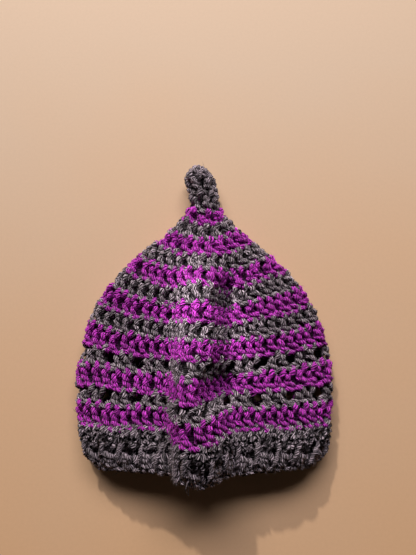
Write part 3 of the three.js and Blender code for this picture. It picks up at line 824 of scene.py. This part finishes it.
def show_mesh(name, parts, material):
    """A mesh object from parts of points, faces of three or four corners and corner places on the yarn.
    A part without points of its own uses those of the part before it."""
    verts = np.concatenate([part[0] for part in parts]) * MM
    starts = np.cumsum([0] + [len(part[0]) for part in parts[:-1]])
    corners = np.concatenate([(part[1] + start).ravel() for part, start in zip(parts, starts)])
    sizes = np.concatenate([np.full(len(part[1]), part[1].shape[1]) for part in parts])
    uv = np.concatenate([part[2] for part in parts])
    mesh = bpy.data.meshes.new(name)
    mesh.vertices.add(len(verts))
    mesh.vertices.foreach_set("co", verts.astype(np.float32).ravel())
    mesh.loops.add(len(corners))
    mesh.loops.foreach_set("vertex_index", corners.astype(np.int32))
    mesh.polygons.add(len(sizes))
    mesh.polygons.foreach_set("loop_start", np.concatenate([[0], np.cumsum(sizes)[:-1]]).astype(np.int32))
    mesh.update(calc_edges=True)
    mesh.polygons.foreach_set("use_smooth", np.ones(len(sizes), bool))
    layer = mesh.uv_layers.new(name="yarn")
    layer.data.foreach_set("uv", uv.astype(np.float32).ravel())
    mesh.materials.append(material)
    if mesh.validate():
        raise RuntimeError(f"{name} has bad faces")
    piece = bpy.data.objects.new(name, mesh)
    bpy.context.scene.collection.objects.link(piece)
    return piece


def make_piece(name, worked, material, random, ends=()):
    """One piece from worked rounds, each with its unit of yarn and its pads, and their stray fibres. Loose
    ends are thin closed yarns of their own, points with how plump they are."""
    yarn = bpy.context.scene.nightcap_yarn
    radius, spacing = yarn.thickness / MM / 2, yarn.ply_spacing / MM
    parts = []
    for work, unit, pads in worked:
        points = work.place(unit, STRAY_POINT)
        verts, faces, uv, core = yarn_tube(points, unit[:, 3], work.outward(unit), radius, spacing, random)
        parts.append((verts, facing_out(verts, faces), uv))
        if yarn.fibres:
            parts += stray_fibres(core, work.repeats * work.widths * yarn.fibres, random)
        if len(pads):
            verts = work.place(np.concatenate(pads)).reshape(-1, PAD_POINTS, 3)
            # Pads behind holes stay only high on the ridge, where they fill the holes with painted shade
            over_hole = np.tile(np.arange(len(pads)) == HOLE_WIDTHS - 1, work.repeats)
            kept = ~over_hole | (verts[:, :, 2].mean(1) > RIDGE_HOLES)
            verts = verts[kept].reshape(-1, 3)
            verts[:, 2] = np.maximum(verts[:, 2], PAD_FLOOR)
            faces = facing_out(verts, pad_faces(np.sum(kept)))
            # Painted shade: set back on the place map, outer faces are painted nearly black, pads in holes
            # darker still and faces inside the cap about half dark
            back = np.repeat(FAR * (1 + over_hole[kept]), len(faces) // np.sum(kept))
            inner = np.tile(pad_inside(), np.sum(kept)) & (back < 1.5 * FAR)
            back = np.where(inner, 3 * FAR, back)[:, None]
            place = np.stack([verts[faces][..., 0] - back, verts[faces][..., 1] * PAD_TURN], -1)
            parts.append((verts, faces, place.reshape(-1, 2)))
    up = np.array([[0.0, 0.0, 1.0]])
    for points, plump in ends:
        verts, faces, uv, _ = yarn_tube(points[None], plump, up, radius, spacing, random)
        parts.append((verts, facing_out(verts, faces), uv))
    return show_mesh(name, parts, material)


# Finish

def start_material(name):
    """A new material without nodes, and two functions: one adds a node, whose inputs are given by name or
    number as a value or a link, and the other adds a step of arithmetic and gives its result."""
    material = bpy.data.materials.new(name)
    material.use_nodes = True
    nodes, links = material.node_tree.nodes, material.node_tree.links
    nodes.clear()

    def add(kind, inputs=(), **settings):
        node = nodes.new(kind)
        for key, value in settings.items():
            setattr(node, key, value)
        for socket, value in inputs:
            if isinstance(value, bpy.types.NodeSocket):
                links.new(value, node.inputs[socket])
            else:
                node.inputs[socket].default_value = value
        return node

    def math(operation, first, second=0.0):
        return add("ShaderNodeMath", [(0, first), (1, second)], operation=operation).outputs[0]

    return material, add, math


def yarn_material(name, colour, light, dark):
    """Plied acrylic: the plies wound round the yarn and the fibres in them, read from the yarn's own place
    map, with the shade changing slowly over the piece by Object coordinates. The shade is the sum of a part
    of the ply, the strand and the fibre, and goes through dark, colour and light: the ply's and the strand's
    parts are painted shade in their grooves and painted highlight on their crests. The pads are darkened from
    the place map, as painted shade."""
    material, add, math = start_material(name)
    place = add("ShaderNodeUVMap", uv_map="yarn")
    parts = add("ShaderNodeSeparateXYZ", [(0, place.outputs[0])])
    along, around = parts.outputs[0], parts.outputs[1]
    turn = math("MULTIPLY", around, 2 * np.pi)
    ply = math("ABSOLUTE", math("COSINE", math("MULTIPLY", turn, PLIES / 2)))
    strand = math("ABSOLUTE", math("COSINE", math("MULTIPLY", turn, STRANDS / 2)))
    wound = add("ShaderNodeCombineXYZ", [(0, math("MULTIPLY", along, FIBRE_STRETCH)),
                                         (1, math("COSINE", turn)), (2, math("SINE", turn))])
    fibre = add("ShaderNodeTexNoise", [("Vector", wound.outputs[0]), ("Scale", FIBRE_SCALE), ("Detail", 2.0),
                                       ("Roughness", 0.7)], noise_dimensions="3D")
    whole = add("ShaderNodeTexCoord")
    drift = add("ShaderNodeTexNoise", [("Vector", whole.outputs["Object"]), ("Scale", DRIFT_SCALE),
                                       ("Detail", 2.0)])
    # Painted shade in the grooves of plies and strands, painted highlight on their crests
    painted_ply_shade_and_highlight = math("ADD", math("MULTIPLY", ply, PLY_SHADE_AND_HIGHLIGHT), math("MULTIPLY", strand, STRAND_SHADE_AND_HIGHLIGHT))
    shade = math("ADD", painted_ply_shade_and_highlight, math("MULTIPLY", fibre.outputs[0], SHADE_FIBRE))
    ramp = add("ShaderNodeValToRGB", [("Fac", shade)])
    stops = ramp.color_ramp.elements
    dark_stop, plain_stop, light_stop = SHADE_STOPS
    # The dark end is partly painted shade and the light end partly painted highlight
    stops[0].position, stops[1].position = dark_stop, light_stop
    stops[0].color = (*[c * dark for c in colour], 1)
    stops[1].color = (*[min(c * light + LIGHT_ADDED, 1) for c in colour], 1)
    stops.new(plain_stop).color = (*colour, 1)

    # Painted shade on pads, read from how far back they lie: outer faces nearly black, pads in holes darker,
    # faces inside the cap about half the colour
    def beyond(operation, rows, depth):
        return math("MULTIPLY", math(operation, along, -FAR * rows), depth)

    depth = math("ADD", beyond("GREATER_THAN", 0.5, 1 - PAD_PAINTED_SHADE),
                 beyond("GREATER_THAN", 1.5, PAD_PAINTED_SHADE - HOLE_PAINTED_SHADE))
    depth = math("ADD", depth, beyond("LESS_THAN", 2.5, INNER_PAINTED_SHADE - HOLE_PAINTED_SHADE))
    drifted = math("ADD", math("MULTIPLY", drift.outputs[0], DRIFT_DEPTH), 1 - DRIFT_DEPTH / 2)
    # The colour's value takes the drift and the painted shade of the pads
    drift_and_painted_pad_shade = add("ShaderNodeHueSaturation", [
        ("Color", ramp.outputs[0]), ("Value", math("MULTIPLY", math("ADD", depth, HOLE_PAINTED_SHADE), drifted))])
    height = math("ADD", math("MULTIPLY", math("ADD", ply, strand), BUMP_WOUND),
                  math("MULTIPLY", fibre.outputs[0], BUMP_FIBRE))
    bump = add("ShaderNodeBump", [("Strength", 1.0), ("Distance", BUMP_DEPTH), ("Height", height)])
    shader = add("ShaderNodeBsdfPrincipled", [
        ("Base Color", drift_and_painted_pad_shade.outputs[0]), ("Roughness", 0.78), ("Specular IOR Level", 0.25),
        ("Sheen Weight", 0.32), ("Sheen Roughness", 0.45), ("Normal", bump.outputs[0])])
    shader.inputs["Sheen Tint"].default_value = (*[min(c ** 0.5 + 0.2, 1) for c in colour], 1)
    add("ShaderNodeOutputMaterial", [("Surface", shader.outputs[0])])
    return material


def yarn_materials():
    """The two finishes, made when first asked for."""
    yarn = bpy.context.scene.nightcap_yarn
    for shade, colour in (("purple", yarn.purple), ("grey", yarn.grey)):
        if f"{shade}_plied_yarn" not in bpy.data.materials:
            yarn_material(f"{shade}_plied_yarn", tuple(colour), YARN_LIGHT_AND_HIGHLIGHT[shade], YARN_DARK_AND_SHADE[shade])
    return {shade: bpy.data.materials[f"{shade}_plied_yarn"] for shade in YARN_LIGHT_AND_HIGHLIGHT}


def floor_material(colour):
    """The plain floor: its colour between two tints by the place along and a faint mottle, with a fine grain,
    all read from Object coordinates. The tints are painted light: lighter and whiter away from the camera,
    darker and warmer towards it."""
    material, add, math = start_material("plain_floor")
    place = add("ShaderNodeTexCoord").outputs["Object"]
    mottle = add("ShaderNodeTexNoise", [("Vector", place), ("Scale", MOTTLE_SCALE), ("Detail", 3.0)])
    # Painted light: from the warmer, darker tint near the camera to the whiter, lighter one away from it
    ahead = math("MULTIPLY", add("ShaderNodeSeparateXYZ", [(0, place)]).outputs[1], FLOOR_PAINTED_LIGHT_FALL)
    ramp = add("ShaderNodeValToRGB", [("Fac", math("ADD", ahead, mottle.outputs[0]))])
    for stop, tint in zip(ramp.color_ramp.elements, FLOOR_PAINTED_LIGHT_TINTS):
        stop.color = (*[min(c * k, 1) for c, k in zip(colour, tint)], 1)
    grain = add("ShaderNodeTexNoise", [("Vector", place), ("Scale", GRAIN_SCALE)])
    speck = math("ADD", math("MULTIPLY", grain.outputs[0], GRAIN_DEPTH), 1 - GRAIN_DEPTH / 2)
    grained = add("ShaderNodeHueSaturation", [("Color", ramp.outputs[0]), ("Value", speck)])
    shader = add("ShaderNodeBsdfPrincipled", [("Base Color", grained.outputs[0]), ("Roughness", 0.75)])
    add("ShaderNodeOutputMaterial", [("Surface", shader.outputs[0])])
    return material


# Operators

SURFACES = {}


def surfaces():
    """The cap's and the topknot's surfaces, placed where the CAD stands."""
    if not SURFACES:
        cap, rounds, lengths = cap_surface()
        crown_end = RIB_ROUNDS + CROWN_ROUNDS
        share = np.arange(RIM_POINTS) / RIM_POINTS
        rim = cap.at(0 * share + crown_end, share, 0 * share + WALL / 2)
        seat = section_sizes(np.array([float(crown_end)]))
        bow = seat["smile"] * np.minimum((rim[:, 0] / seat["half"]) ** 2, 1)
        base = float(np.max(rim[:, 1] - bow)) + KNOT_GAP
        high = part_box("topknot")[1][1] / MM
        shift = np.array([0.0, high - (base + KNOT_LENGTH), 0.0])
        cap.points += shift
        knot = knot_surface(base + shift[1] - KNOT_SINK, len(KNOT_ROUNDS))
        middles = np.arange(crown_end + 1) + 0.5
        SURFACES.update(cap=cap, knot=knot, lengths=np.interp(middles, rounds, lengths))
    return SURFACES


def front_share(cap, row, x):
    """The place around the cap, at a row, where the front layer passes that many millimetres across."""
    share = np.arange(COLUMNS) / COLUMNS
    places = cap.at(np.full(COLUMNS, row), share, np.zeros(COLUMNS))
    front = places[:, 2] > PANEL_HEIGHT / 2
    return float(share[np.argmin(np.where(front, np.abs(places[:, 0] - x), HALF_WIDTH))])


def seam_round(cap, top, stitches, settings, random, reach=1.0):
    """The seam of a round, at the crease, over that share of the round's height."""
    crest = float(smooth_column(SECTIONS, SECTION_NAMES.index("crest"), top - 0.5)) * HALF_WIDTH
    share = front_share(cap, top - 0.5, crest + CREASE_X)
    work = Round(cap, top, 1, stitches, share, settings, random, SEAM_WOBBLE)
    return work, seam() * [1, reach, 1, 1], []


def loose_end(cap, way):
    """The points of a loose end on the cap, and how plump it is at each."""
    way = np.array(way)
    share = np.array([front_share(cap, row, x) for row, x in way[:, :2]])
    return cap.at(way[:, 0], share, way[:, 2]), way[:, 3]


def settle(piece, node):
    """Put a piece on the root body, in place of its solid."""
    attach(piece, "root")
    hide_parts(node)


class NIGHTCAP_OT_crown(bpy.types.Operator):
    """Work the thirteen crown rounds in purple and grey, two of them with holes"""
    bl_idname = "nightcap.crown"
    bl_label = "Crown Rounds"

    def execute(self, context):
        settings = context.scene.nightcap_stitches
        materials, cap = yarn_materials(), surfaces()["cap"]
        first = CROWN_FIRST
        for index, (node, stitches) in enumerate(CROWN):
            random = np.random.default_rng(settings.seed + index)
            shade = "purple" if "purple" in node else "grey"
            top = RIB_ROUNDS + index + 1.0
            if node in HOLE_PHASES:
                unit = [laid(STITCH, *place) for place in HOLE_STITCHES] + [laid(SPAN, *HOLE_SPAN)]
                unit = np.concatenate(unit)
                pads = [pad(*place) for place in HOLE_PADS]
                repeats, widths = REPEATS, HOLE_WIDTHS
                first = (HOLE_PHASES[node] + HOLE_MIDDLE / HOLE_WIDTHS) / REPEATS
            else:
                unit, pads, repeats, widths = laid(STITCH), [pad(0.0)], stitches, 1
                first += STAGGER / stitches
            pitch = surfaces()["lengths"][RIB_ROUNDS + index] / stitches
            unit[:, 3] *= np.clip(pitch / PLAIN_PITCH, 1, MOST_PLUMP)
            if index == CROWN_ROUNDS - 1:
                unit[:, 1] = 1 - (1 - unit[:, 1]) * LAST_ROUND_REACH
            worked = [(Round(cap, top, repeats, widths, first, settings, random), unit, pads)]
            if index < SEAM_ROUNDS:
                worked.append(seam_round(cap, top, stitches, settings, random))
            name = node.replace("crown_round", "crochet_round")
            piece = make_piece(name, worked, materials[shade], random)
            settle(piece, node)
        return {"FINISHED"}


class NIGHTCAP_OT_brim(bpy.types.Operator):
    """Work the ribbed brim: two rounds of front and back post stitches"""
    bl_idname = "nightcap.brim"
    bl_label = "Ribbed Brim"

    def execute(self, context):
        settings = context.scene.nightcap_stitches
        materials, cap = yarn_materials(), surfaces()["cap"]
        random = np.random.default_rng(settings.seed + BRIM_SEED)
        relief = settings.rib_relief / MM
        fan, rib = np.array(FAN), np.array(RIB + EDGE)
        fan[:, 1] = 1 - (1 - fan[:, 1]) * FAN_HEIGHT
        fan[:, 3] *= FAN_PLUMP
        rib[:, 3] *= RIB_PLUMP
        side = np.where(rib[:, 0] < RIB_WIDTH, RIB_SHARE, -RIB_SHARE)
        rib[:, 2] += relief * np.clip((RIB_TOP - rib[:, 1]) / RIB_EASE, 0, 1) * side
        rib = np.concatenate([rib, np.array(EDGE) + [1.0, 0, 0, 0]])
        worked = [(Round(cap, top, RIBS, 2, BRIM_FIRST, settings, random), unit, [pad(0.0), pad(1.0)])
                  for top, unit in ((2.0, fan), (1.0, rib))]
        worked += [seam_round(cap, top, 2 * RIBS, settings, random, reach)
                   for top, reach in ((2.0, 1.0), (1.0, EDGE_SEAM))]
        ends = [loose_end(cap, way) for way in LOOSE_ENDS]
        piece = make_piece("crochet_ribbed_brim", worked, materials["grey"], random, ends)
        settle(piece, "ribbed_brim")
        return {"FINISHED"}


class NIGHTCAP_OT_topknot(bpy.types.Operator):
    """Work the topknot: three small rounds, drawn together at the end"""
    bl_idname = "nightcap.topknot"
    bl_label = "Topknot"

    def execute(self, context):
        settings = context.scene.nightcap_stitches
        materials, knot = yarn_materials(), surfaces()["knot"]
        random = np.random.default_rng(settings.seed + KNOT_SEED)
        worked = []
        for index, (stitches, reach) in enumerate(KNOT_ROUNDS):
            unit, back = laid(STITCH), pad(0.0, KNOT_PAD_WIDTH)
            unit[:, 3] *= KNOT_PLUMP
            unit[:, 2] += KNOT_WAIST * np.clip((unit[:, 1] - WAIST_FROM) / WAIST_OVER, 0, 1)
            for shape in (unit, back):
                shape[:, 1] = 1 - (1 - shape[:, 1]) * reach
            first = KNOT_FIRST + STAGGER * index / stitches
            work = Round(knot, index + 1.0, stitches, 1, first, settings, random, KNOT_WOBBLE)
            work.lean = KNOT_LEAN
            worked.append((work, unit, [back]))
        piece = make_piece("crochet_topknot", worked, materials["grey"], random)
        settle(piece, "topknot")
        return {"FINISHED"}


class NIGHTCAP_OT_stage(bpy.types.Operator):
    """Lay the floor and set the light and the camera"""
    bl_idname = "nightcap.stage"
    bl_label = "Stage"

    def execute(self, context):
        scene, stage = context.scene, context.scene.nightcap_stage
        corners = [(x * FLOOR_REACH, y * FLOOR_REACH, 0) for x, y in ((-1, -1), (1, -1), (1, 1), (-1, 1))]
        mesh = bpy.data.meshes.new("floor")
        mesh.from_pydata(corners, [], [(0, 1, 2, 3)])
        mesh.materials.append(floor_material(stage.floor))
        floor = bpy.data.objects.new("floor", mesh)
        scene.collection.objects.link(floor)

        def light(name, kind, energy, colour, height, side, distance, target=(0, 0, 0), **settings):
            lamp = bpy.data.lights.new(name, kind)
            lamp.energy, lamp.color = energy, colour
            for key, value in settings.items():
                setattr(lamp, key, value)
            toward = Vector((-np.sin(side) * np.cos(height), np.cos(side) * np.cos(height), np.sin(height)))
            item = bpy.data.objects.new(name, lamp)
            item.rotation_mode = "QUATERNION"
            item.rotation_quaternion = toward.to_track_quat("Z", "Y")
            item.location = Vector(target) * MM + toward * distance
            scene.collection.objects.link(item)

        light("hard_light", "SUN", stage.sun, HARD_COLOUR, stage.sun_height, stage.sun_side, 1.0,
              angle=HARD_SIZE)
        light("soft_light", "AREA", stage.window, SOFT_COLOUR, *SOFT_PLACE,
              shape="RECTANGLE", size=SOFT_SIZE[0], size_y=SOFT_SIZE[1])
        for index, target in enumerate(RIDGE_SPOTS):
            light(f"ridge_light_{index + 1}", "SPOT", stage.gleam, RIDGE_COLOUR, *RIDGE_LIGHT_PLACE, target,
                  spot_size=RIDGE_CONE, spot_blend=1.0, shadow_soft_size=RIDGE_LIGHT_RADIUS)
        world = bpy.data.worlds.new("room")
        world.use_nodes = True
        background = world.node_tree.nodes["Background"]
        background.inputs[0].default_value, background.inputs[1].default_value = ROOM_COLOUR, stage.room
        scene.world = world
        scene.view_settings.view_transform = "Standard"

        eye = bpy.data.cameras.new("camera")
        eye.sensor_fit, eye.sensor_width, eye.lens = "AUTO", SENSOR, LENS
        eye.clip_start, eye.clip_end = CLIP
        camera = bpy.data.objects.new("camera", eye)
        camera.location = (*(place * MM for place in CAMERA_PLACE), stage.camera_height)
        camera.rotation_euler = (stage.camera_tilt, 0, 0)
        scene.collection.objects.link(camera)
        scene.camera = camera
        return {"FINISHED"}


class NIGHTCAP_PT_panel(bpy.types.Panel):
    """The nightcap's settings, and the steps that make it"""
    bl_label = "Nightcap"
    bl_idname = "NIGHTCAP_PT_panel"
    bl_space_type = "VIEW_3D"
    bl_region_type = "UI"
    bl_category = "Nightcap"

    def draw(self, context):
        layout = self.layout
        for group in ("nightcap_yarn", "nightcap_stitches", "nightcap_stage"):
            settings = getattr(context.scene, group)
            box = layout.box()
            box.label(text=type(settings).__doc__)
            for name in type(settings).__annotations__:
                box.prop(settings, name)
        for operator in OPERATORS:
            layout.operator(operator.bl_idname)


GROUPS = {"nightcap_yarn": NightcapYarn, "nightcap_stitches": NightcapStitches,
          "nightcap_stage": NightcapStage}
OPERATORS = (NIGHTCAP_OT_crown, NIGHTCAP_OT_brim, NIGHTCAP_OT_topknot, NIGHTCAP_OT_stage)
CLASSES = (*GROUPS.values(), *OPERATORS, NIGHTCAP_PT_panel)


def register():
    for item in CLASSES:
        bpy.utils.register_class(item)
    for name, group in GROUPS.items():
        setattr(bpy.types.Scene, name, bpy.props.PointerProperty(type=group))


def unregister():
    for name in GROUPS:
        delattr(bpy.types.Scene, name)
    for item in reversed(CLASSES):
        bpy.utils.unregister_class(item)


def main():
    register()
    bpy.ops.nightcap.crown()
    bpy.ops.nightcap.brim()
    bpy.ops.nightcap.topknot()
    bpy.ops.nightcap.stage()


if __name__ == "__main__":
    main()
